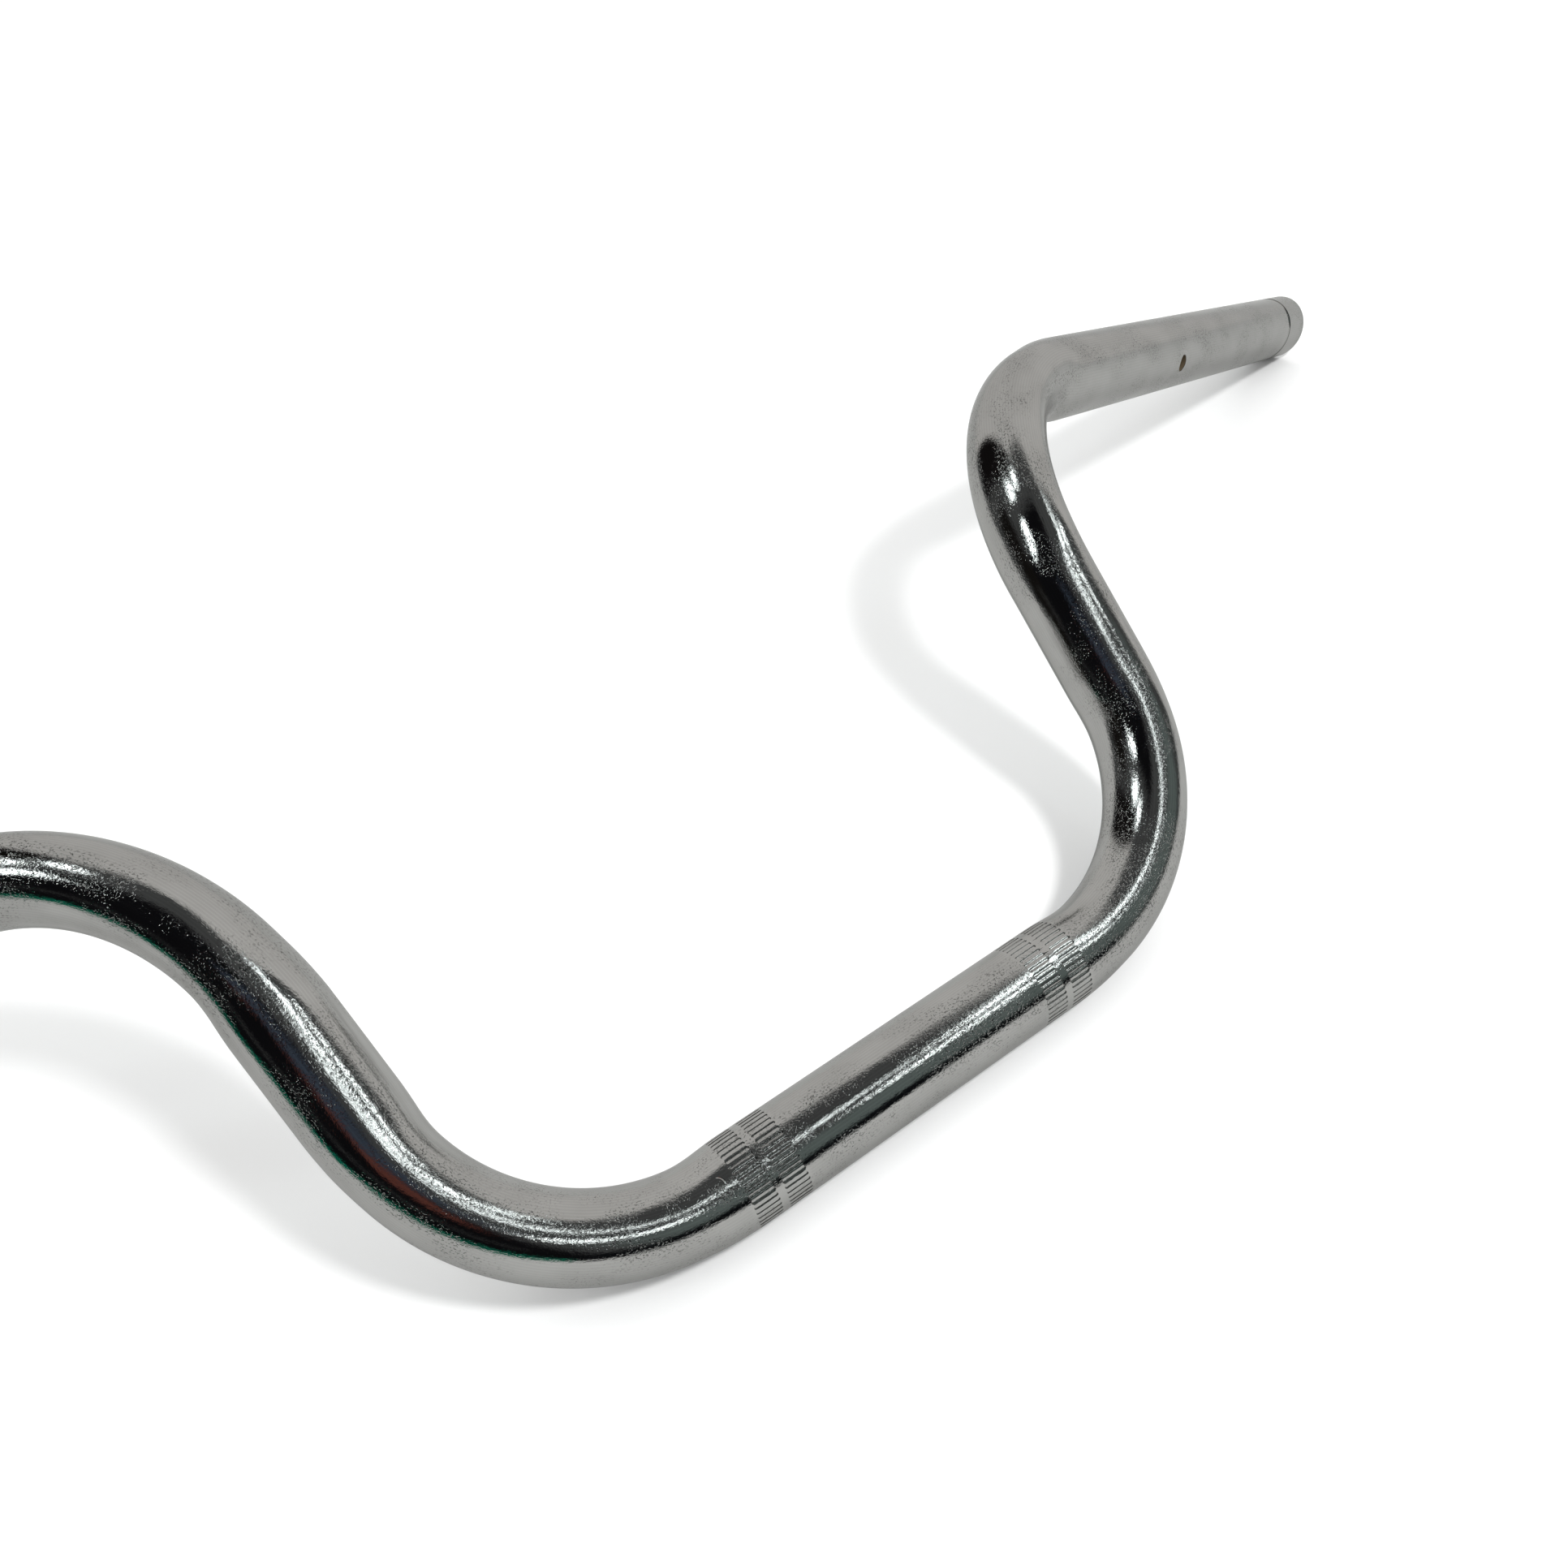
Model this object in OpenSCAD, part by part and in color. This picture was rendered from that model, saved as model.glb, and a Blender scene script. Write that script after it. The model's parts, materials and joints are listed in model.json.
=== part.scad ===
/* [Tube] */
// Outside diameter of the bar, the usual 7/8 inch (mm)
tube_od = 22.2; // [19:0.1:26]
// Wall thickness of the bar
wall = 2; // [1.6:0.1:2.6]

/* [Bends] */
// Length of the straight clamp section between the two lower bends
centre_len = 103; // [90:1:150]
// Centreline radius of the lower bends
lower_bend_r = 54; // [40:1:80]
// Angle of the lower bends
lower_bend_angle = 86; // [60:1:90]
// Straight riser between a lower and an upper bend
riser_len = 35; // [20:1:90]
// Turn of the upper bend out of the riser plane, which sweeps the grips back
sweep_back = 25; // [10:1:40]
// Centreline radius of the upper bends
upper_bend_r = 59; // [40:1:80]
// Angle of the upper bends
upper_bend_angle = 82; // [60:1:90]
// Straight grip section, from the upper bend to the end of the bar
grip_len = 225; // [180:1:280]

/* [Knurled clamp bands] */
// Distance between the middles of the two knurled places
knurl_spacing = 84; // [70:1:88]
// Length of one band of slots; each place has two
band_len = 6.2; // [4:0.1:8]
// Smooth ring between the two bands of one place
band_gap = 1.8; // [1:0.1:3]
// Slots round the bar in one band
slot_count = 45; // [30:1:48]
// Width of a slot at the surface of the bar
slot_w = 0.7; // [0.5:0.1:1]
// Depth of a slot
slot_depth = 0.15; // [0.1:0.05:0.4]

/* [Switch locating holes] */
// Diameter of the hole that takes the locating pin of a switch housing
hole_d = 5; // [4:0.5:6]
// Distance of the hole from the end of the bar
hole_from_end = 138; // [130:1:150]
// Place of the hole round the grip section, from the inside of the upper bend
hole_angle = 38; // [0:1:90]

/* [End inserts] */
// Length of the steel insert in each end
insert_len = 30; // [26:1:36]
// Distance of the insert's face inside the end of the bar
insert_recess = 1; // [0:0.5:3]
// Radial clearance of the insert in the bore
insert_clear = 0.05; // [0.02:0.01:0.1]
// Tapping diameter of the insert's thread, for an M8 bar-end screw
thread_d = 6.8; // [5:0.1:8.5]
// Depth of the thread
thread_depth = 24; // [15:1:25]
// Distance of the rolled groove that locks the insert from the end of the bar
groove_from_end = 20; // [15:1:22]
// Radius of the groove's rounded floor
groove_r = 1.9; // [1.2:0.1:2.5]
// Depth of the groove
groove_depth = 0.4; // [0.3:0.1:0.9]
// Radius of the rounded rim at the end of the bar
rim_r = 0.8; // [0.3:0.1:1]

/* [Damping weights] */
// Diameter of the steel weight inside each grip section
weight_d = 14; // [10:0.5:15]
// Length of the weight
weight_len = 88; // [60:1:90]
// Space between the insert and the weight
weight_gap = 4; // [2:0.5:6]
// Length of each rubber ring
ring_len = 10; // [6:0.5:14]
// Distance of a ring from the end of its weight
ring_inset = 8; // [4:0.5:12]
// Depth of the weight's seat under a ring
seat_depth = 1; // [0.5:0.1:2]
// Radial clearance of a ring in the bore and on its seat
ring_clear = 0.05; // [0.02:0.01:0.1]
// Chamfer on the ends of the weight and the insert
chamfer = 1; // [0.5:0.1:1.5]

/* [Hidden] */
$fn = 96;
tube_r = tube_od / 2;
bore_r = tube_r - wall;
over = 1; // how far a cut runs past what it cuts

// The wall of each straight stretch narrows to a tongue that runs on into the wall of the bend
// beside it. The bend's wall is drawn in by a hair on both faces, so its end lies wholly inside
// the straight wall, and the two join into one solid.
tongue = 0.5;
bend_draw = 0.02;

// The centreline of one half, in the plane of its riser: it starts at the middle of the clamp
// section along +X, and the lower bend turns it towards +Y.
roll = sweep_back - 180;                   // turn about the riser into the upper bend's plane
riser_dir = [cos(lower_bend_angle), sin(lower_bend_angle), 0];
riser_side = [-sin(lower_bend_angle), cos(lower_bend_angle), 0];
upper_side = riser_side * cos(roll) + [0, 0, sin(roll)];
grip_dir = riser_dir * cos(upper_bend_angle) + upper_side * sin(upper_bend_angle);
riser_foot = [
    centre_len / 2 + lower_bend_r * sin(lower_bend_angle),
    lower_bend_r * (1 - cos(lower_bend_angle)),
    0
];
bar_end = riser_foot + riser_dir * (riser_len + upper_bend_r * sin(upper_bend_angle))
    + upper_side * upper_bend_r * (1 - cos(upper_bend_angle)) + grip_dir * grip_len;

// The tilt of the riser planes at which the bar lies on a flat surface, touching it with the
// clamp section and with the rim of each end. A rim reaches further down than the bar's middle
// line by the tube's radius times the cosine of the grip's slope, so the tilt is found in a few
// rounds.
function slope(tilt) = grip_dir * [0, sin(tilt), cos(tilt)];
function end_height(tilt) = tube_r * (sqrt(1 - pow(slope(tilt), 2)) - 1);
function tilt_for(height) =
    asin(height / norm([bar_end.y, bar_end.z])) - atan2(bar_end.z, bar_end.y);
function rest_tilt(tilt, rounds) =
    rounds == 0 ? tilt : rest_tilt(tilt_for(end_height(tilt)), rounds - 1);
lie_tilt = rest_tilt(tilt_for(0), 5);

// Slots are cut by thin rods with round ends, sunk into the surface.
slot_r = (pow(slot_w / 2, 2) + pow(slot_depth, 2)) / (2 * slot_depth);
slot_axis_r = tube_r - slot_depth + slot_r;

// The rolled groove and the bead that it raises inside share one centre, so the wall keeps its
// thickness all the way round them.
roll_axis_r = tube_r - groove_depth + groove_r;
bead_r = groove_r + wall;

weight_start = insert_recess + insert_len + weight_gap;
seat_r = weight_d / 2 - seat_depth;

// Both halves of something drawn once for the +X side
module both_sides() {
    children();
    mirror([1, 0, 0]) children();
}

// Places what is drawn for the +X side on the side that s gives: 1 for left, -1 for right
module side(s) {
    mirror([s < 0 ? 1 : 0, 0, 0]) children();
}

// The riser plane of the lying bar
module riser_plane() {
    rotate([lie_tilt, 0, 0]) children();
}

// What follows a bend of radius r through angle a, which starts at the origin along +X
module after_bend(r, a) {
    translate([r * sin(a), r * (1 - cos(a)), 0]) rotate([0, 0, a]) children();
}

// The stages of one half, each starting at the origin along +X
module at_lower_bend() {
    riser_plane() translate([centre_len / 2, 0, 0]) children();
}

module at_riser() {
    at_lower_bend() after_bend(lower_bend_r, lower_bend_angle) children();
}

module at_upper_bend() {
    at_riser() translate([riser_len, 0, 0]) rotate([roll, 0, 0]) children();
}

module at_grip() {
    at_upper_bend() after_bend(upper_bend_r, upper_bend_angle) children();
}

// The end of the bar, looking back along it: +Z runs from the end into the grip section
module at_end() {
    at_grip() translate([grip_len, 0, 0]) rotate([0, -90, 0]) children();
}

// A round rod of radius r along +X
module rod_x(r, l) {
    rotate([0, 90, 0]) cylinder(r = r, h = l);
}

// A straight stretch of the tube of length l, with a tongue at each end
module straight(l) {
    rotate([0, 90, 0]) rotate_extrude() polygon([
        [tube_r, 0], [tube_r, l], [tube_r - tongue, l + tongue], [bore_r + tongue, l + tongue],
        [bore_r, l], [bore_r, 0], [bore_r + tongue, -tongue], [tube_r - tongue, -tongue]
    ]);
}

// A bent stretch of the tube
module bend(r, a) {
    translate([0, r, 0]) rotate([0, 0, -90]) rotate_extrude(angle = a)
        translate([r, 0]) difference() {
            circle(r = tube_r - bend_draw);
            circle(r = bore_r + bend_draw);
        }
}

// The grip section's wall with its rolled groove and rounded rim, turned about the bar's line;
// y runs from the end of the bar inwards
module grip_wall() {
    difference() {
        union() {
            polygon([
                [bore_r, 0], [tube_r - rim_r, 0], [tube_r - rim_r, rim_r], [tube_r, rim_r],
                [tube_r, grip_len], [tube_r - tongue, grip_len + tongue],
                [bore_r + tongue, grip_len + tongue], [bore_r, grip_len]
            ]);
            translate([tube_r - rim_r, rim_r]) circle(r = rim_r);
            intersection() {
                translate([roll_axis_r, groove_from_end]) circle(r = bead_r);
                translate([0, groove_from_end - bead_r]) square([tube_r, 2 * bead_r]);
            }
        }
        translate([roll_axis_r, groove_from_end]) circle(r = groove_r);
    }
}

// One slot of a band, centred on the origin along X
module slot() {
    half = band_len / 2 - slot_w / 2;
    translate([-half, 0, slot_axis_r]) {
        rod_x(slot_r, 2 * half);
        sphere(r = slot_r);
        translate([2 * half, 0, 0]) sphere(r = slot_r);
    }
}

// The two bands of slots of one knurled place
module knurl() {
    for (along = [-1, 1])
        translate([along * (band_len + band_gap) / 2, 0, 0])
            for (k = [0 : slot_count - 1])
                rotate([k * 360 / slot_count, 0, 0]) slot();
}

// The bent, chromed steel tube with everything that is cut or rolled into it
module handlebar_tube() {
    color("gainsboro") difference() {
        union() {
            riser_plane() translate([-centre_len / 2, 0, 0]) straight(centre_len);
            both_sides() {
                at_lower_bend() bend(lower_bend_r, lower_bend_angle);
                at_riser() straight(riser_len);
                at_upper_bend() bend(upper_bend_r, upper_bend_angle);
                at_end() rotate_extrude() grip_wall();
            }
        }
        riser_plane() both_sides() translate([knurl_spacing / 2, 0, 0]) knurl();
        both_sides() at_end() translate([0, 0, hole_from_end]) rotate([0, 0, 90 + hole_angle])
            rod_x(hole_d / 2, tube_r + over);
    }
}

// The steel insert in one end: tapped for a bar-end screw, and locked by the rolled bead
module end_insert() {
    r = bore_r - insert_clear;
    translate([0, 0, insert_recess]) difference() {
        union() {
            cylinder(r1 = r - chamfer, r2 = r, h = chamfer);
            translate([0, 0, chamfer]) cylinder(r = r, h = insert_len - 2 * chamfer);
            translate([0, 0, insert_len - chamfer]) cylinder(r1 = r, r2 = r - chamfer, h = chamfer);
        }
        translate([0, 0, -over]) cylinder(d = thread_d, h = thread_depth + over);
        rotate_extrude() translate([roll_axis_r, groove_from_end - insert_recess])
            circle(r = bead_r + insert_clear);
    }
}

// The steel rod that damps the bar's buzz, with a seat for each rubber ring
module damping_weight() {
    r = weight_d / 2;
    difference() {
        union() {
            cylinder(r1 = r - chamfer, r2 = r, h = chamfer);
            translate([0, 0, chamfer]) cylinder(r = r, h = weight_len - 2 * chamfer);
            translate([0, 0, weight_len - chamfer])
                cylinder(r1 = r, r2 = r - chamfer, h = chamfer);
        }
        for (z = [ring_inset, weight_len - ring_inset - ring_len])
            translate([0, 0, z]) difference() {
                cylinder(r = r + over, h = ring_len);
                cylinder(r = seat_r, h = ring_len);
            }
    }
}

// A rubber ring that holds the weight in the bore; it sits in its seat with a clearance
module rubber_ring() {
    translate([0, 0, ring_clear]) difference() {
        cylinder(r = bore_r - ring_clear, h = ring_len - 2 * ring_clear);
        translate([0, 0, -over]) cylinder(r = seat_r + ring_clear, h = ring_len + 2 * over);
    }
}

module insert_node(s) {
    color("dimgray") side(s) at_end() end_insert();
}

module weight_node(s) {
    color("slategray") side(s) at_end() translate([0, 0, weight_start]) damping_weight();
}

module ring_node(s, z) {
    color("black") side(s) at_end() translate([0, 0, weight_start + z]) rubber_ring();
}

ring_inner_z = weight_len - ring_inset - ring_len;
handlebar_tube();
insert_node(1);  // end_insert_left
insert_node(-1);  // end_insert_right
weight_node(1);  // damping_weight_left
weight_node(-1);  // damping_weight_right
ring_node(1, ring_inset);  // ring_outer_left
ring_node(-1, ring_inset);  // ring_outer_right
ring_node(1, ring_inner_z);  // ring_inner_left
ring_node(-1, ring_inner_z);  // ring_inner_right
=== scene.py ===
import json
from math import asin, atan2, cos, pi, radians, sin

import bpy
import numpy as np
from mathutils import Matrix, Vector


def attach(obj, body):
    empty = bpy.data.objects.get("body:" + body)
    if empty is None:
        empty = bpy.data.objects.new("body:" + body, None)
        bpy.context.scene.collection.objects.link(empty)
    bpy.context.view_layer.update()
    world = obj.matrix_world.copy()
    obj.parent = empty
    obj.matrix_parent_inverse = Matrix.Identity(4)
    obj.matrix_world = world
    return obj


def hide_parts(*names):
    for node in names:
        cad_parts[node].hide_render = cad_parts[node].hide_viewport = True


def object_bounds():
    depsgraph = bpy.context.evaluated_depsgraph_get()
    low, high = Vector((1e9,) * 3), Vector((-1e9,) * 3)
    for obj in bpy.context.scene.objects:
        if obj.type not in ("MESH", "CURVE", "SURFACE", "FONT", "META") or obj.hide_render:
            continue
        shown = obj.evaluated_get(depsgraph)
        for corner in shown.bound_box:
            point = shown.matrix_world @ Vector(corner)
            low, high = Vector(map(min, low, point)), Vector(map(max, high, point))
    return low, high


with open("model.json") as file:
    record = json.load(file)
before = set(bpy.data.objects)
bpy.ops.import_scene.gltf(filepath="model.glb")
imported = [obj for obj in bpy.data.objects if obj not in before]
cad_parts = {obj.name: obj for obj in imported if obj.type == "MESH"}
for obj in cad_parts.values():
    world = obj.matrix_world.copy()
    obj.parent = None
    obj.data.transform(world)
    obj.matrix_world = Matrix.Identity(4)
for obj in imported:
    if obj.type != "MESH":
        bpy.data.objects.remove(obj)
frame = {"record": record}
cad_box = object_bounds()


# ---------------------------------------------------------------------------------------------
# Camera
# Held close over the clamp section, looking down and along the bar towards its left end, so the
# far end of the other half stays out of view.
# ---------------------------------------------------------------------------------------------
CAMERA_PLACE = (-0.0948, -0.1337, 0.2250)
CAMERA_HEADING = 30.3     # degrees from +Y towards +X
CAMERA_DIP = 50.1         # degrees below the horizon
CAMERA_ROLL = 8.7         # degrees clockwise

camera_data = bpy.data.cameras.new("camera")
camera_data.sensor_width = 36
camera_data.lens = 27.44
camera_data.shift_x = -0.030
camera_data.shift_y = 0.135
camera_data.clip_start = 0.01
camera = bpy.data.objects.new("camera", camera_data)
camera.matrix_world = (
    Matrix.Translation(CAMERA_PLACE)
    @ Matrix.Rotation(-radians(CAMERA_HEADING), 4, "Z")
    @ Matrix.Rotation(radians(90 - CAMERA_DIP), 4, "X")
    @ Matrix.Rotation(-radians(CAMERA_ROLL), 4, "Z")
)
bpy.context.collection.objects.link(camera)
bpy.context.scene.camera = camera


# ---------------------------------------------------------------------------------------------
# Handlebar tube
# One seamless steel tube, bent cold at four places, so it is a little flat across each bend.
# Two places beside the clamp are rolled with short lengthwise slots, a groove is rolled near
# each end, each grip section has a locating hole, and the whole tube is polished and chromed.
# ---------------------------------------------------------------------------------------------
MM = 0.001
TUBE_R = 11.1
WALL = 2.0
BORE_R = TUBE_R - WALL
CENTRE_HALF = 51.5        # half of the straight clamp section
LOWER_BEND = (54.0, radians(86))
RISER_LEN = 35.0
SWEEP_BACK = radians(25)
UPPER_BEND = (59.0, radians(82))
GRIP_LEN = 225.0

LOWER_FLAT = 0.068        # how much thinner the tube is across the middle of a bend
UPPER_FLAT = 0.110
FLAT_SPREAD = 0.4         # share of that by which it grows the other way
FLAT_REACH = 6.0          # mm of the straights that the flattening runs into
FLAT_RISE = 16.0          # mm over which it grows to its full amount

LOWER_START = CENTRE_HALF
LOWER_END = LOWER_START + LOWER_BEND[0] * LOWER_BEND[1]
UPPER_START = LOWER_END + RISER_LEN
UPPER_END = UPPER_START + UPPER_BEND[0] * UPPER_BEND[1]
BAR_END = UPPER_END + GRIP_LEN
UPPER_TURN = SWEEP_BACK - pi    # the upper bend's plane, turned about the riser

ROUND = 90                # points round the tube
HOLE_D = 5.0
HOLE_FROM_END = 138.0
HOLE_TURN = UPPER_TURN - radians(38)
HOLE_CELLS = 5            # cells of the tube's mesh on each side of the hole that its patch takes
HOLE_PATCH = 5.0          # half length of that patch
HOLE_EDGE = 0.15          # radius of the edges of the hole

KNURL_PLACE = 42.0        # from the middle of the bar to the middle of a knurled place
BAND_LEN = 6.2
BAND_GAP = 1.8
SLOT_COUNT = 45
SLOT_W = 0.75
SLOT_DEPTH = 0.25
SLOT_FLANK = 0.17         # width of the slope from a slot's edge to its flat floor
SLOT_TURN = pi / 2        # the first slot's place round the tube
CREASE = 0.1              # width over which the groove's shoulders are rounded
KNURL_HALF = BAND_LEN + BAND_GAP / 2 + 0.3
FAN_LEN = 0.7             # mm between the tube's coarse rings and the knurl's finer ones

GROOVE_FROM_END = 20.0
GROOVE_R = 1.9
GROOVE_DEPTH = 0.4
ROLL_AXIS_R = TUBE_R - GROOVE_DEPTH + GROOVE_R
GROOVE_REACH = 3.0        # mm each side of the groove that get close rings
RIM_R = 0.8
BORE_RIM_R = 0.2

NICK_TURN = 74            # degrees round the tube, for a short curved nick in the plating
NICK_R = 1.6
NICK_W = 0.16


def smooth_step(x):
    """0 below 0, 1 above 1, and three x squared less two x cubed in between."""
    x = np.clip(x, 0, 1)
    return x * x * (3 - 2 * x)


def smooth_min(a, b, width):
    """The lower of a and b, rounded over width where they cross: the mean less half the
    hypotenuse of their difference and the width."""
    return (a + b - np.sqrt((a - b) ** 2 + width**2)) / 2


def bar_line(s):
    """The tube's middle line at the distances s from the middle of the bar, towards +X. Returns
    its points, its directions, and two directions across it that turn with it and never twist.
    On a straight the point moves along the direction; on a bend it goes round a circle whose
    centre lies along the bend's own direction across."""
    point = np.zeros(3)
    along = np.array([1.0, 0.0, 0.0])
    across = np.array([0.0, cos(LIE_TILT), sin(LIE_TILT)])
    places, directions, sides = (np.zeros((len(s), 3)) for _ in range(3))
    stages = [
        (0, LOWER_START, None, 0),
        (LOWER_START, LOWER_END, LOWER_BEND[0], 0),
        (LOWER_END, UPPER_START, None, 0),
        (UPPER_START, UPPER_END, UPPER_BEND[0], UPPER_TURN),
        (UPPER_END, BAR_END, None, 0),
    ]
    for start, end, radius, turn in stages:
        u = np.append(np.clip(s, start, end) - start, end - start)[:, None]
        if radius is None:
            run, facing, side = point + along * u, along + 0 * u, across + 0 * u
        else:
            inwards = across * cos(turn) + np.cross(along, across) * sin(turn)
            q = u / radius
            run = point + along * radius * np.sin(q) + inwards * radius * (1 - np.cos(q))
            facing = along * np.cos(q) + inwards * np.sin(q)
            bent = inwards * np.cos(q) - along * np.sin(q)
            side = across + cos(turn) * (bent - inwards)
        here = (s >= start) & (s <= end)
        places[here], directions[here] = run[:-1][here], facing[:-1][here]
        sides[here] = side[:-1][here]
        point, along, across = run[-1], facing[-1], side[-1]
    return places, directions, sides, np.cross(directions, sides)


def lie_tilt():
    """The turn of the bar about its clamp section, from the direction of the left grip's mount
    and the same direction on a bar whose risers stand level."""
    grip = next(m for m in frame["record"]["mounts"] if m["name"] == "grip_left")["axis"]
    level = bar_line(np.array([BAR_END]))[1][0]
    return atan2(grip[2], grip[1]) - atan2(level[2], level[1])


LIE_TILT = 0.0
LIE_TILT = lie_tilt()


def flatness(s):
    """How flat the tube is at s, and the direction of its nearer bend. It rises smoothly from
    a little before the bend, along its first stretch, and falls the same way at its end."""
    inside_lower = np.minimum(s - LOWER_START, LOWER_END - s)
    inside_upper = np.minimum(s - UPPER_START, UPPER_END - s)
    flat = LOWER_FLAT * smooth_step((inside_lower + FLAT_REACH) / FLAT_RISE)
    flat = flat + UPPER_FLAT * smooth_step((inside_upper + FLAT_REACH) / FLAT_RISE)
    return flat, np.where(s < (LOWER_END + UPPER_START) / 2, 0.0, UPPER_TURN)


def tube_points(s, theta, radius):
    """Points of a tube of that radius at s and theta, in millimetres. Across the middle line it
    is an ellipse: shorter towards the bend's centre and a little longer the other way."""
    s, theta, radius = np.broadcast_arrays(s, theta, radius)
    place, facing, side, up = bar_line(s.ravel())
    flat, turn = flatness(s.ravel())
    turned = theta.ravel() - turn
    near = radius.ravel() * (1 - flat) * np.cos(turned)
    wide = radius.ravel() * (1 + FLAT_SPREAD * flat) * np.sin(turned)
    inwards = side * np.cos(turn)[:, None] + up * np.sin(turn)[:, None]
    beside = up * np.cos(turn)[:, None] - side * np.sin(turn)[:, None]
    points = place + near[:, None] * inwards + wide[:, None] * beside
    return points.reshape(s.shape + (3,))


def slot_depth(s, theta):
    """How deep the slots are at s and theta. Each is pressed by a tooth with round ends, so the
    depth rises smoothly over the flank, by the distance from the slot's middle line."""
    pitch = 2 * pi / SLOT_COUNT
    sideways = TUBE_R * np.sin((theta - SLOT_TURN + pitch / 2) % pitch - pitch / 2)
    from_band = np.abs(np.abs(s - KNURL_PLACE) - (BAND_LEN + BAND_GAP) / 2)
    beyond = np.maximum(from_band - (BAND_LEN - SLOT_W) / 2, 0)
    return SLOT_DEPTH * smooth_step((SLOT_W / 2 - np.hypot(sideways, beyond)) / SLOT_FLANK)


def outer_radius(s, theta):
    """The tube's outside: its radius, less the slots, and dipped by the rolled groove."""
    off = np.clip(s - (BAR_END - GROOVE_FROM_END), -GROOVE_R, GROOVE_R)
    groove = ROLL_AXIS_R - np.sqrt(GROOVE_R**2 - off**2)
    return smooth_min(TUBE_R - slot_depth(s, theta), groove, CREASE)


def inner_radius(s, theta):
    """The tube's inside: its bore, with the bead that the rolled groove raises."""
    bead_r = GROOVE_R + WALL
    off = np.clip(s - (BAR_END - GROOVE_FROM_END), -bead_r, bead_r)
    bead = ROLL_AXIS_R - np.sqrt(bead_r**2 - off**2)
    return smooth_min(BORE_R, bead, CREASE) + 0 * theta


def facing_out(s, theta, radius_at):
    """The outward direction of the surface at s and theta: the cross product of two short steps,
    round the tube and along it."""
    step_s, step_t = 0.02, 0.0018

    def at(ds, dt):
        along = np.clip(s + ds, 0, BAR_END)
        return tube_points(along, theta + dt, radius_at(along, theta + dt))

    out = np.cross(at(0, step_t) - at(0, -step_t), at(step_s, 0) - at(-step_s, 0))
    return out / np.linalg.norm(out, axis=-1, keepdims=True)


def stations(start, end, step):
    """Even places from start to end, at most step apart."""
    return np.linspace(start, end, max(2, int(np.ceil((end - start) / step)) + 1))


class TubeMesh:
    """Gathers rings of points, their outward directions and the faces between them."""

    def __init__(self):
        self.points, self.normals, self.rolled = [], [], []
        self.faces, self.plated = [], []
        self.count = 0

    def add(self, points, normals, rolled):
        """Adds an array of points and returns the array of their numbers."""
        numbers = self.count + np.arange(points[..., 0].size).reshape(points.shape[:-1])
        self.points.append(points.reshape(-1, 3))
        self.normals.append(normals.reshape(-1, 3))
        self.rolled.append(rolled.reshape(-1, 3))
        self.count += numbers.size
        return numbers

    def add_wall(self, s, theta, radius_at, out):
        """A stretch of the wall: a ring of points for each s. out is 1 outside, -1 inside."""
        s, theta = np.meshgrid(s, theta, indexing="ij")
        radius = radius_at(s, theta)
        rolled = np.stack([radius * np.cos(theta), radius * np.sin(theta), s], -1)
        return self.add(
            tube_points(s, theta, radius), out * facing_out(s, theta, radius_at), rolled
        )

    def keep_faces(self, corners, flip, plated):
        """Notes faces by their corners' numbers, and whether the chrome covers them."""
        self.faces.append(corners[:, ::-1] if flip else corners)
        self.plated.append(np.full(len(corners), plated))

    def strip(self, first, second, keep=None, flip=False, plated=True):
        """Four-sided faces between two closed rings of as many points."""
        quads = np.stack([first, np.roll(first, -1), np.roll(second, -1), second], -1)
        if keep is not None:
            quads = quads[keep]
        self.keep_faces(quads, flip, plated)

    def rows(self, rings, keep=None, flip=False, plated=True):
        """Faces between each two rings of a stretch; keep leaves out the hole's patch."""
        for k in range(len(rings) - 1):
            self.strip(rings[k], rings[k + 1], None if keep is None else keep[k], flip, plated)

    def fan(self, coarse, fine, flip=False):
        """Three-sided faces from a ring to one of four times as many points, which start
        beside each other."""
        fine = fine.reshape(-1, 4)
        after = np.roll(coarse, -1)
        next_fine = np.roll(fine[:, 0], -1)
        corners = [
            (coarse, fine[:, 1], fine[:, 0]),
            (coarse, fine[:, 2], fine[:, 1]),
            (coarse, after, fine[:, 2]),
            (after, fine[:, 3], fine[:, 2]),
            (after, next_fine, fine[:, 3]),
        ]
        for a, b, c in corners:
            self.keep_faces(np.stack([a, b, c], -1), flip, True)


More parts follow.
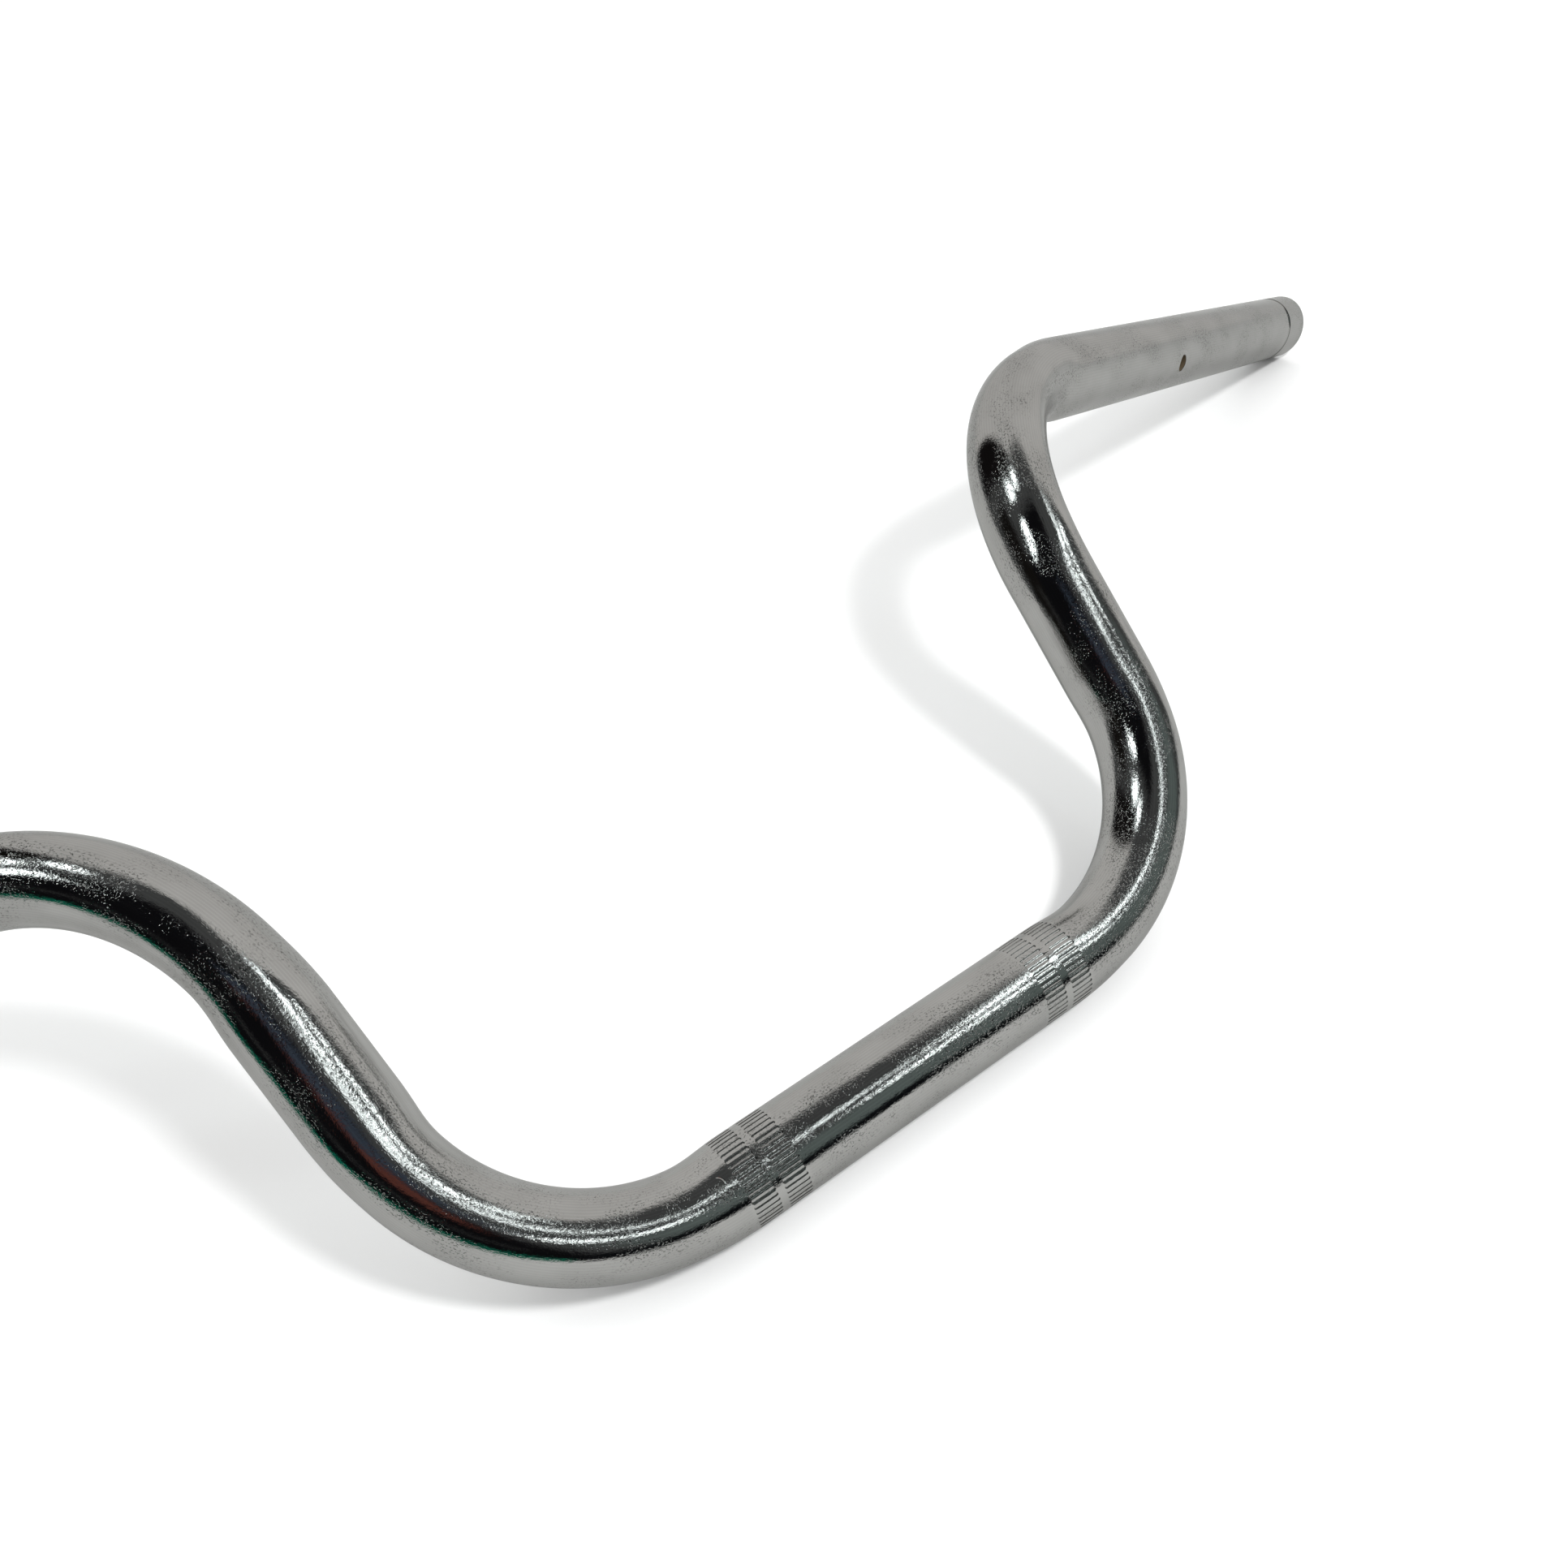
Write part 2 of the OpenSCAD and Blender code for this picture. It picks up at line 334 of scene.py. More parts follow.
def tube_half():
    """The half of the tube on the +X side. Outside it runs from the middle of the bar through
    the knurled place, the bends and the hole to the rim, and inside from there back."""
    mesh = TubeMesh()
    coarse = HOLE_TURN + np.arange(ROUND) * 2 * pi / ROUND

    # Round the tube, each slot has a point on each edge, five across it and one on the land.
    edge = asin(SLOT_W / 2 / TUBE_R)
    across_slot = np.array([-1, -0.78, -0.55, 0, 0.55, 0.78, 1]) * edge
    across_slot = np.append(across_slot, pi / SLOT_COUNT)
    fine = (SLOT_TURN + np.arange(SLOT_COUNT)[:, None] * 2 * pi / SLOT_COUNT + across_slot).ravel()
    first = np.argmin(np.abs((fine - coarse[0] + pi) % (2 * pi) - pi))
    fine = np.roll(fine, -first)

    # Along a band, the points crowd at the round ends of its slots.
    half_band = np.array([0, 1.4, 2.5, 2.75, 2.9, 3.0, 3.1]) / 3.1 * BAND_LEN / 2
    band = np.concatenate([-half_band[:0:-1], half_band])
    band_middle = (BAND_LEN + BAND_GAP) / 2
    knurl = np.concatenate([
        [KNURL_PLACE - KNURL_HALF], KNURL_PLACE - band_middle + band,
        KNURL_PLACE + band_middle + band, [KNURL_PLACE + KNURL_HALF],
    ])

    hole_s = BAR_END - HOLE_FROM_END
    groove_s = BAR_END - GROOVE_FROM_END
    before = stations(0, knurl[0] - FAN_LEN, 4)
    after = np.concatenate([
        stations(knurl[-1] + FAN_LEN, LOWER_END, 1.6)[:-1],
        stations(LOWER_END, UPPER_START, 2.5)[:-1],
        stations(UPPER_START, UPPER_END, 1.6)[:-1],
        stations(UPPER_END, hole_s - HOLE_PATCH, 5)[:-1],
        stations(hole_s - HOLE_PATCH, hole_s + HOLE_PATCH, 1)[:-1],
        stations(hole_s + HOLE_PATCH, groove_s - GROOVE_REACH, 5)[:-1],
        stations(groove_s - GROOVE_REACH, groove_s + GROOVE_REACH, 0.3)[:-1],
        stations(groove_s + GROOVE_REACH, BAR_END - RIM_R, 4),
    ])
    inside = np.concatenate([
        stations(0, LOWER_START, 8)[:-1],
        stations(LOWER_START, LOWER_END, 3)[:-1],
        stations(LOWER_END, UPPER_START, 8)[:-1],
        stations(UPPER_START, UPPER_END, 3)[:-1],
        stations(UPPER_END, hole_s - HOLE_PATCH, 10)[:-1],
        stations(hole_s - HOLE_PATCH, hole_s + HOLE_PATCH, 1)[:-1],
        stations(hole_s + HOLE_PATCH, groove_s - GROOVE_REACH, 10)[:-1],
        stations(groove_s - GROOVE_REACH, groove_s + GROOVE_REACH, 0.4)[:-1],
        stations(groove_s + GROOVE_REACH, BAR_END - BORE_RIM_R, 5),
    ])

    def open_at_hole(s):
        """For each stretch between two places, which faces round the tube stay: those of the
        hole's patch don't."""
        middle = (s[1:] + s[:-1]) / 2
        near = np.abs(middle - hole_s) < HOLE_PATCH
        cell = np.arange(ROUND)
        beside = (cell < HOLE_CELLS) | (cell >= ROUND - HOLE_CELLS)
        return ~(near[:, None] & beside[None, :])

    start = mesh.add_wall(before, coarse, outer_radius, 1)
    slots = mesh.add_wall(knurl, fine, outer_radius, 1)
    rest = mesh.add_wall(after, coarse, outer_radius, 1)
    bore = mesh.add_wall(inside, coarse, inner_radius, -1)
    mesh.rows(start)
    mesh.fan(start[-1], slots[0])
    mesh.rows(slots)
    mesh.fan(rest[0], slots[-1], flip=True)
    mesh.rows(rest, open_at_hole(after))
    mesh.rows(bore, open_at_hole(inside), flip=True, plated=False)

    # The rim: a round outer corner, the flat end and a small round at the bore.
    turn = np.linspace(0, pi / 2, 7)[1:]
    rim_s = np.concatenate([BAR_END - RIM_R * (1 - np.sin(turn)),
                            BAR_END - BORE_RIM_R * (1 - np.cos(turn[:-1] - turn[0]))])
    rim_r = np.concatenate([TUBE_R - RIM_R * (1 - np.cos(turn)),
                            BORE_R + BORE_RIM_R * (1 - np.sin(turn[:-1] - turn[0]))])
    lean = np.concatenate([turn, pi / 2 + (turn[:-1] - turn[0])])
    s, theta = np.meshgrid(rim_s, coarse, indexing="ij")
    out = facing_out(s, theta, lambda s, t: TUBE_R + 0 * s)
    facing = bar_line(np.array([BAR_END]))[1][0]
    normals = out * np.cos(lean)[:, None, None] + facing * np.sin(lean)[:, None, None]
    radius = rim_r[:, None] + 0 * theta
    rolled = np.stack([radius * np.cos(theta), radius * np.sin(theta), s], -1)
    rim = mesh.add(tube_points(s, theta, radius), normals, rolled)
    mesh.rows(np.concatenate([rest[-1:], rim, bore[-1:]]))

    # The hole: from the patch's outline to the round edge, through the wall and out again.
    place, along, side, up = (v[0] for v in bar_line(np.array([hole_s])))
    outwards = side * cos(HOLE_TURN) + up * sin(HOLE_TURN)
    round_way = up * cos(HOLE_TURN) - side * sin(HOLE_TURN)
    n = HOLE_CELLS

    def outline(grid, s):
        """The numbers of the points round the patch in a stretch of the wall, from its corner
        at the lowest s and angle: along the bar, round it, back, and down again."""
        low = int(np.argmin(np.abs(s - (hole_s - HOLE_PATCH))))
        high = int(np.argmin(np.abs(s - (hole_s + HOLE_PATCH))))
        rows, cells = np.arange(low, high), np.arange(-n, n)
        return np.concatenate([
            grid[rows, -n], grid[high, cells], grid[rows[::-1] + 1, n], grid[low, -cells],
        ])

    steps = int(2 * HOLE_PATCH)
    cell = 2 * pi / ROUND
    u_edge = np.concatenate([
        np.arange(steps) - HOLE_PATCH, np.full(2 * n, HOLE_PATCH),
        HOLE_PATCH - np.arange(steps), np.full(2 * n, -HOLE_PATCH),
    ])
    t_edge = np.concatenate([
        np.full(steps, -n * cell), np.arange(-n, n) * cell,
        np.full(steps, n * cell), np.arange(n, -n, -1) * cell,
    ])
    polar = np.arctan2(t_edge * TUBE_R, u_edge)

    def patch_ring(share, shell):
        """A ring of the patch on the outside or inside: share of the way from the hole's round
        edge to the patch's outline, in distance along the bar and angle round it."""
        r = HOLE_D / 2 + HOLE_EDGE
        u = (1 - share) * r * np.cos(polar) + share * u_edge
        t = (1 - share) * np.arcsin(r * np.sin(polar) / shell) + share * t_edge
        out = outwards * np.cos(t)[:, None] + round_way * np.sin(t)[:, None]
        return place + along * u[:, None] + out * shell, out, u, HOLE_TURN + t

    def wall_ring(shell, lean, out):
        """A ring of the hole's wall at that distance from the bar's middle line. It is as wide
        as its rounded edge makes it there, and faces between the tube's own way and the hole's
        middle, by lean."""
        r = HOLE_D / 2 + HOLE_EDGE * (1 - sin(lean))
        w = r * np.sin(polar)
        up_wall = np.sqrt(shell**2 - w**2)
        point = (place + along * (r * np.cos(polar))[:, None] + round_way * w[:, None]
                 + outwards * up_wall[:, None])
        surface = (outwards * up_wall[:, None] + round_way * w[:, None]) / shell * out
        inwards = -(along * np.cos(polar)[:, None] + round_way * np.sin(polar)[:, None])
        normal = surface * cos(lean) + inwards * sin(lean)
        return point, normal, r * np.cos(polar), HOLE_TURN + np.arcsin(w / shell)

    def add_ring(made, shell):
        point, normal, u, t = made
        rolled = np.stack([shell * np.cos(t), shell * np.sin(t), hole_s + u], -1)
        return mesh.add(point, normal, rolled)

    leans = np.linspace(0, pi / 2, 5)
    rings = [outline(rest, after)]
    rings += [add_ring(patch_ring(k, TUBE_R), TUBE_R) for k in (0.75, 0.5, 0.25)]
    for lean in leans:
        shell = TUBE_R - HOLE_EDGE * (1 - cos(lean))
        rings.append(add_ring(wall_ring(shell, lean, 1), shell))
    for lean in leans[::-1]:
        shell = BORE_R + HOLE_EDGE * (1 - cos(lean))
        rings.append(add_ring(wall_ring(shell, lean, -1), shell))
    for k in (0.25, 0.5, 0.75):
        point, out, u, t = patch_ring(k, BORE_R)
        rings.append(add_ring((point, -out, u, t), BORE_R))
    rings.append(outline(bore, inside))
    edge_end = 4 + len(leans)
    mesh.rows(rings[:edge_end], flip=True)
    mesh.rows(rings[edge_end - 1:], flip=True, plated=False)
    return mesh


def tube_object():
    """Both halves: the -X half is the mirror image of the other, joined on the middle ring."""
    half = tube_half()
    points, normals, rolled = (np.concatenate(v) for v in (half.points, half.normals, half.rolled))
    mirror, unroll = np.array([-1.0, 1.0, 1.0]), np.array([1.0, 1.0, -1.0])
    middle = np.abs(rolled[:, 2]) < 1e-6
    points[middle, 0] = 0
    twin = np.where(middle, np.arange(len(points)), len(points) + np.cumsum(~middle) - 1)
    points = np.concatenate([points, points[~middle] * mirror])
    normals = np.concatenate([normals, normals[~middle] * mirror])
    rolled = np.concatenate([rolled, rolled[~middle] * unroll])
    faces = [f for part in half.faces for f in part.tolist()]
    faces += [f for part in half.faces for f in twin[part][:, ::-1].tolist()]
    data = bpy.data.meshes.new("bent_tube")
    data.from_pydata((points * MM).tolist(), [], faces)
    data.attributes.new("rolled_out", "FLOAT_VECTOR", "POINT")
    data.attributes["rolled_out"].data.foreach_set("vector", (rolled * MM).ravel())
    plated = np.concatenate(half.plated)
    data.polygons.foreach_set("material_index", np.concatenate([~plated, ~plated]).astype(np.int32))
    data.shade_smooth()
    data.normals_split_custom_set_from_vertices(normals.tolist())
    tube = bpy.data.objects.new("bent_tube", data)
    bpy.context.collection.objects.link(tube)
    return tube


bent_tube = tube_object()
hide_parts("handlebar_tube")
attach(bent_tube, "root")


def node(tree, kind, place=(0, 0), inputs=None, **settings):
    """A shader node of that kind. inputs maps a socket's name or number to its value, or to the
    output that is linked to it."""
    made = tree.nodes.new(kind)
    made.location = place
    for name, value in settings.items():
        setattr(made, name, value)
    for name, value in (inputs or {}).items():
        socket = made.inputs[name]
        if isinstance(value, bpy.types.NodeSocket):
            tree.links.new(value, socket)
        else:
            socket.default_value = value
    return made


def new_material(name):
    """An empty material with its output and a Principled shader."""
    material = bpy.data.materials.new(name)
    material.use_nodes = True
    tree = material.node_tree
    tree.nodes.clear()
    shader = node(tree, "ShaderNodeBsdfPrincipled", (600, 0))
    node(tree, "ShaderNodeOutputMaterial", (900, 0), {"Surface": shader.outputs["BSDF"]})
    return material, tree, shader


def chrome_material():
    """Bright chrome over polished steel. The polishing left a fine grain along the tube and the
    plating is pitted, which frays the edges of every reflection."""
    material, tree, shader = new_material("bright_chrome")
    place = node(tree, "ShaderNodeAttribute", (-1400, 0), attribute_name="rolled_out").outputs[1]

    def scaled(across, lengthwise):
        return node(tree, "ShaderNodeVectorMath", (-1200, 0), {
            0: place, 1: (across, across, lengthwise)}, operation="MULTIPLY").outputs[0]

    def noise(across, lengthwise, detail=2.0, roughness=0.5):
        return node(tree, "ShaderNodeTexNoise", (-1000, 0), {
            "Vector": scaled(across, lengthwise), "Scale": 1.0, "Detail": detail,
            "Roughness": roughness}).outputs[0]

    def ramp(value, low, high, out_low=0.0, out_high=1.0):
        return node(tree, "ShaderNodeMapRange", (-700, 0), {
            0: value, 1: low, 2: high, 3: out_low, 4: out_high}).outputs[0]

    def maths(operation, *values):
        return node(tree, "ShaderNodeMath", (-500, 0), dict(enumerate(values)),
                    operation=operation).outputs[0]

    grain = noise(1500, 800, 3.0, 0.7)          # grain 0.7 mm across and 1.2 mm long
    peel = noise(420, 260, 1.0)                 # orange peel a few millimetres long
    specks = noise(2400, 2000, 1.0)
    worn = ramp(noise(130, 60, 2.0), 0.42, 0.62)
    pits = maths("MULTIPLY", ramp(specks, 0.57, 0.68), worn)
    haze = maths("MULTIPLY", ramp(noise(2000, 1200, 2.0), 0.5, 0.62), worn)

    # A short curved nick beside the right knurled place: part of a ring about a point.
    turn, middle = radians(NICK_TURN), -(LOWER_START + 1.6)
    centre = [MM * TUBE_R * cos(turn), MM * TUBE_R * sin(turn), MM * middle]
    off = node(tree, "ShaderNodeVectorMath", (-1200, 300), {0: place, 1: centre},
               operation="SUBTRACT").outputs[0]
    away = node(tree, "ShaderNodeVectorMath", (-1000, 300), {0: off}, operation="LENGTH").outputs[1]
    along = node(tree, "ShaderNodeSeparateXYZ", (-1000, 450), {0: off}).outputs[2]
    ring = ramp(maths("ABSOLUTE", maths("SUBTRACT", away, NICK_R * MM)), 0, NICK_W * MM, 1, 0)
    nick = maths("MULTIPLY", ring, ramp(along, NICK_R * 0.3 * MM, NICK_R * 0.6 * MM))

    height = maths("ADD", maths("MULTIPLY", grain, 0.034), maths("MULTIPLY", peel, 0.012))
    height = maths("SUBTRACT", height, maths("MULTIPLY", pits, 0.04))
    height = maths("SUBTRACT", height, maths("MULTIPLY", nick, 0.08))
    bump = node(tree, "ShaderNodeBump", (300, -300), {
        "Strength": 1.0, "Distance": MM, "Height": height})
    shader.inputs["Metallic"].default_value = 1
    shader.inputs["Specular Tint"].default_value = (0.8, 0.8, 0.8, 1)

    # Painted shade: the base colour darkens on the slopes of what is pressed or rolled into the
    # tube, most halfway down a slot.
    crosswise = node(tree, "ShaderNodeVectorMath", (-1200, -300), {0: place, 1: (1, 1, 0)},
                      operation="MULTIPLY").outputs[0]
    radius = node(tree, "ShaderNodeVectorMath", (-1000, -300), {0: crosswise},
                  operation="LENGTH").outputs[1]
    sunk = ramp(radius, TUBE_R * MM, (TUBE_R - SLOT_DEPTH) * MM)
    painted_flank_shade = maths("MULTIPLY", maths("MULTIPLY", sunk, maths("SUBTRACT", 1.0, sunk)), 3.6)
    stain = ramp(noise(100, 60, 3.0), 0.35, 0.7, 0, 0.16)
    # The base colour darkens with random stains and pits, and with the painted shade on the slopes.
    stains_and_shade = maths("ADD", maths("MULTIPLY", pits, 0.5), stain)
    stains_and_shade = maths("MINIMUM", maths("ADD", stains_and_shade, painted_flank_shade), 0.95)
    tint = node(tree, "ShaderNodeMix", (300, 200), {
        0: stains_and_shade, 6: (0.57, 0.57, 0.56, 1), 7: (0.1, 0.095, 0.09, 1)}, data_type="RGBA").outputs[2]
    tree.links.new(tint, shader.inputs["Base Color"])
    polish = ramp(noise(220, 90, 2.0), 0.3, 0.7, 0.03, 0.07)
    rough = maths("ADD", polish, maths("MULTIPLY", haze, 0.14))
    tree.links.new(rough, shader.inputs["Roughness"])
    tree.links.new(bump.outputs[0], shader.inputs["Normal"])
    return material


def mottle_group():
    """Two colours mixed by a noise over the object: rust, tarnish or dust in soft patches."""
    group = bpy.data.node_groups.new("mottle", "ShaderNodeTree")
    group.interface.new_socket("Place", in_out="INPUT", socket_type="NodeSocketVector")
    for name in ("Scale", "Detail", "Lumpiness"):
        group.interface.new_socket(name, in_out="INPUT", socket_type="NodeSocketFloat")
    for name in ("Dark", "Light"):
        group.interface.new_socket(name, in_out="INPUT", socket_type="NodeSocketColor")
    group.interface.new_socket("Colour", in_out="OUTPUT", socket_type="NodeSocketColor")
    group.interface.new_socket("Mask", in_out="OUTPUT", socket_type="NodeSocketFloat")
    given = node(group, "NodeGroupInput", (-600, 0)).outputs
    mask = node(group, "ShaderNodeTexNoise", (-300, 0), {
        "Vector": given["Place"], "Scale": given["Scale"], "Detail": given["Detail"],
        "Roughness": given["Lumpiness"]}).outputs[0]
    colour = node(group, "ShaderNodeMix", (0, 0), {
        0: mask, 6: given["Dark"], 7: given["Light"]}, data_type="RGBA").outputs[2]
    node(group, "NodeGroupOutput", (300, 0), {"Colour": colour, "Mask": mask})
    return group


mottle = mottle_group()


def add_mottle(tree, place, scale, detail, dark, light, lumpiness=0.5):
    """The mottle group in a material, with that material's own values. Returns its outputs."""
    return node(tree, "ShaderNodeGroup", (-400, 0), {
        "Place": place, "Scale": scale, "Detail": detail, "Lumpiness": lumpiness,
        "Dark": (*dark, 1), "Light": (*light, 1)}, node_tree=mottle).outputs


def bore_material():
    """The inside of the tube, which the plating doesn't reach: brown mill scale."""
    material, tree, shader = new_material("bare_bore")
    place = node(tree, "ShaderNodeTexCoord", (-800, 0)).outputs["Object"]
    scale = add_mottle(tree, place, 420.0, 6.0, (0.07, 0.055, 0.035), (0.17, 0.125, 0.075), 0.65)
    bump = node(tree, "ShaderNodeBump", (200, -300), {
        "Distance": 0.08 * MM, "Height": scale["Mask"]})
    tree.links.new(scale["Colour"], shader.inputs["Base Color"])
    tree.links.new(bump.outputs[0], shader.inputs["Normal"])
    shader.inputs["Roughness"].default_value = 0.7
    shader.inputs["Metallic"].default_value = 0.2
    return material


bent_tube.data.materials.append(chrome_material())
bent_tube.data.materials.append(bore_material())


# ---------------------------------------------------------------------------------------------
# End inserts
# A turned, zinc-plated steel plug pressed into each end and locked by the rolled groove. It is
# bored and tapped M8, with a right-hand thread that runs in from a chamfered mouth.
# ---------------------------------------------------------------------------------------------
INSERT_RECESS = 1.0
INSERT_LEN = 30.0
FIT_GAP = 0.05            # between the insert and the tube
INSERT_R = BORE_R - FIT_GAP
INSERT_CHAMFER = 1.0
THREAD_PITCH = 1.25
THREAD_CORE_R = 3.4
THREAD_DEPTH = 0.6
THREAD_LEN = 24.0
THREAD_ROUND = 96


def insert_object(name, side):
    """A closed surface turned about the grip's line. Its profile runs from the middle of the
    inner face out over the groove's waist to the mouth, and down the bore; the bore's radius
    rises and falls once a pitch, and each turn round moves that wave on by one pitch."""
    place, along, across, up = (v[0] for v in bar_line(np.array([BAR_END])))
    flip = np.array([side, 1.0, 1.0])
    place, along, across = place * flip, along * flip, across * flip
    up = np.cross(along, across)
    bead = ROLL_AXIS_R - FIT_GAP
    waist_z = GROOVE_FROM_END - INSERT_RECESS
    waist = np.linspace(-2.4, 2.4, 17)
    floor_r = smooth_min(INSERT_R, bead - np.sqrt((GROOVE_R + WALL) ** 2 - waist**2), 0.05)
    outer_z = np.concatenate([[INSERT_LEN] * 4, [INSERT_LEN - INSERT_CHAMFER], waist_z - waist,
                              [INSERT_CHAMFER, 0.15, 0.05, 0]])
    outer_r = np.concatenate([[0.02, 3, 6, INSERT_R - INSERT_CHAMFER], [INSERT_R], floor_r,
                              [INSERT_R, INSERT_R - 0.9, INSERT_R - 1.0, INSERT_R - 1.2]])
    mouth = np.array([[0, THREAD_CORE_R + 1.2], [0.1, THREAD_CORE_R + 1.0]])
    bore_z = np.arange(0.1, THREAD_LEN, THREAD_PITCH / 10)
    turn = np.arange(THREAD_ROUND) * 2 * pi / THREAD_ROUND
    z = np.concatenate([outer_z, mouth[:, 0], bore_z, [THREAD_LEN, THREAD_LEN + 1.9]])
    r = np.concatenate([outer_r, mouth[:, 1], 0 * bore_z, [THREAD_CORE_R, 0.02]])
    radius = np.repeat(r[:, None], THREAD_ROUND, 1)
    first = len(outer_z) + len(mouth)
    phase = bore_z[:, None] / THREAD_PITCH + turn / (2 * pi)
    crest = np.abs((phase % 1) * 2 - 1)
    fade = smooth_step((THREAD_LEN - 2 - bore_z) / 1.5)[:, None]
    threaded = THREAD_CORE_R + THREAD_DEPTH * crest * fade
    countersink = THREAD_CORE_R + THREAD_DEPTH + 0.4 - bore_z[:, None]
    radius[first:first + len(bore_z)] = np.maximum(threaded, countersink)
    depth = (INSERT_RECESS + z)[:, None, None]
    points = (place - along * depth + radius[..., None]
              * (across * np.cos(turn)[:, None] + up * np.sin(turn)[:, None]))
    rows, columns = radius.shape
    number = np.arange(rows * columns).reshape(rows, columns)
    quads = np.stack([number[:-1], number[1:], np.roll(number[1:], -1, 1),
                      np.roll(number[:-1], -1, 1)], -1).reshape(-1, 4)
    faces = [f[::-1] for f in quads.tolist()] + [number[0, ::-1].tolist(), number[-1].tolist()]
    data = bpy.data.meshes.new(name)
    data.from_pydata((points.reshape(-1, 3) * MM).tolist(), [], faces)
    data.shade_smooth()
    data.set_sharp_from_angle(angle=radians(35))
    made = bpy.data.objects.new(name, data)
    bpy.context.collection.objects.link(made)
    return made


def lathe_group():
    """Fine rings that a lathe leaves: a noise of the distance along the grip's line alone. The
    place is mirrored to the +X side first, so that one line serves both grips."""
    group = bpy.data.node_groups.new("lathe_rings", "ShaderNodeTree")
    for name in ("Place", "Grip Line"):
        group.interface.new_socket(name, in_out="INPUT", socket_type="NodeSocketVector")
    group.interface.new_socket("Scale", in_out="INPUT", socket_type="NodeSocketFloat")
    group.interface.new_socket("Height", in_out="OUTPUT", socket_type="NodeSocketFloat")
    given = node(group, "NodeGroupInput", (-1000, 0)).outputs
    split = node(group, "ShaderNodeSeparateXYZ", (-800, 0), {0: given["Place"]}).outputs
    one_side = node(group, "ShaderNodeMath", (-600, 100), {0: split[0]}, operation="ABSOLUTE")
    mirrored = node(group, "ShaderNodeCombineXYZ", (-400, 0), {
        0: one_side.outputs[0], 1: split[1], 2: split[2]}).outputs[0]
    depth = node(group, "ShaderNodeVectorMath", (-200, 0), {
        0: mirrored, 1: given["Grip Line"]}, operation="DOT_PRODUCT").outputs["Value"]
    rings = node(group, "ShaderNodeTexNoise", (0, 0), {
        "W": depth, "Scale": given["Scale"], "Detail": 3.0}, noise_dimensions="1D").outputs[0]
    node(group, "NodeGroupOutput", (200, 0), {"Height": rings})
    return group


lathe = lathe_group()


def turned_steel(name, colour, rough, line_scale):
    """Steel as it leaves the lathe: fine rings about the grip's line, with patchy tarnish."""
    material, tree, shader = new_material(name)
    place = node(tree, "ShaderNodeTexCoord", (-1200, 0)).outputs["Object"]
    grip = bar_line(np.array([BAR_END]))[1][0]
    rings = node(tree, "ShaderNodeGroup", (-400, -300), {
        "Place": place, "Grip Line": grip, "Scale": line_scale}, node_tree=lathe)
    dark = [c * 0.7 for c in colour]
    tarnish = add_mottle(tree, place, 260.0, 4.0, dark, colour)
    gloss = node(tree, "ShaderNodeMapRange", (0, 0), {
        0: tarnish["Mask"], 3: rough - 0.08, 4: rough + 0.12})
    bump = node(tree, "ShaderNodeBump", (200, -300), {
        "Distance": 0.01 * MM, "Height": rings.outputs["Height"]})
    tree.links.new(tarnish["Colour"], shader.inputs["Base Color"])
    tree.links.new(gloss.outputs[0], shader.inputs["Roughness"])
    tree.links.new(bump.outputs[0], shader.inputs["Normal"])
    shader.inputs["Metallic"].default_value = 1
    return material


insert_steel = turned_steel("turned_zinc_plate", (0.56, 0.56, 0.58), 0.28, 9000.0)
for end, side in (("left", 1), ("right", -1)):
    insert = insert_object("tapped_insert_" + end, side)
    insert.data.materials.append(insert_steel)
    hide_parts("end_insert_" + end)
    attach(insert, "root")


# ---------------------------------------------------------------------------------------------
# Damping weights
# A plain turned steel bar inside each grip section, as the solids have it.
# ---------------------------------------------------------------------------------------------
weight_steel = turned_steel("oiled_steel", (0.33, 0.33, 0.34), 0.42, 5000.0)
for end in ("left", "right"):
    weight = bpy.data.objects["damping_weight_" + end]
    weight.data.materials.clear()
    weight.data.materials.append(weight_steel)


# ---------------------------------------------------------------------------------------------
# Rubber rings
# Two moulded rings hold each weight off the tube's wall.
# ---------------------------------------------------------------------------------------------
def rubber_material():
    """Matt black rubber with a fine moulded grain and a dusting of talc."""
    material, tree, shader = new_material("matt_rubber")
    place = node(tree, "ShaderNodeTexCoord", (-800, 0)).outputs["Object"]
    grain = node(tree, "ShaderNodeTexNoise", (-600, 0), {
        "Vector": place, "Scale": 3000.0, "Detail": 2.0}).outputs[0]
    dust = add_mottle(tree, place, 300.0, 5.0, (0.012, 0.012, 0.012), (0.05, 0.05, 0.048))
    bump = node(tree, "ShaderNodeBump", (200, -300), {"Distance": 0.03 * MM, "Height": grain})
    tree.links.new(dust["Colour"], shader.inputs["Base Color"])
    tree.links.new(bump.outputs[0], shader.inputs["Normal"])
    shader.inputs["Roughness"].default_value = 0.8
    return material


ring_rubber = rubber_material()
for place in ("outer", "inner"):
    for end in ("left", "right"):
        ring = bpy.data.objects["ring_" + place + "_" + end]
        ring.data.materials.clear()
        ring.data.materials.append(ring_rubber)


# ---------------------------------------------------------------------------------------------
# Floor, surroundings and light
# A plain pale floor in soft light from above and one stronger light. The floor is darker to the
# chrome's reflections than to the camera, as the surroundings mirrored in it are.
# ---------------------------------------------------------------------------------------------
floor_z = cad_box[0][2]
floor_data = bpy.data.meshes.new("floor")
FLOOR_HALF = 30.0
floor_data.from_pydata(
    [(x * FLOOR_HALF, y * FLOOR_HALF, floor_z) for x, y in ((-1, -1), (1, -1), (1, 1), (-1, 1))],
    [], [(0, 1, 2, 3)],
)
floor = bpy.data.objects.new("floor", floor_data)
bpy.context.collection.objects.link(floor)
floor_material, floor_tree, floor_shader = new_material("pale_floor")
seen_by_camera = node(floor_tree, "ShaderNodeLightPath", (0, 0)).outputs["Is Camera Ray"]
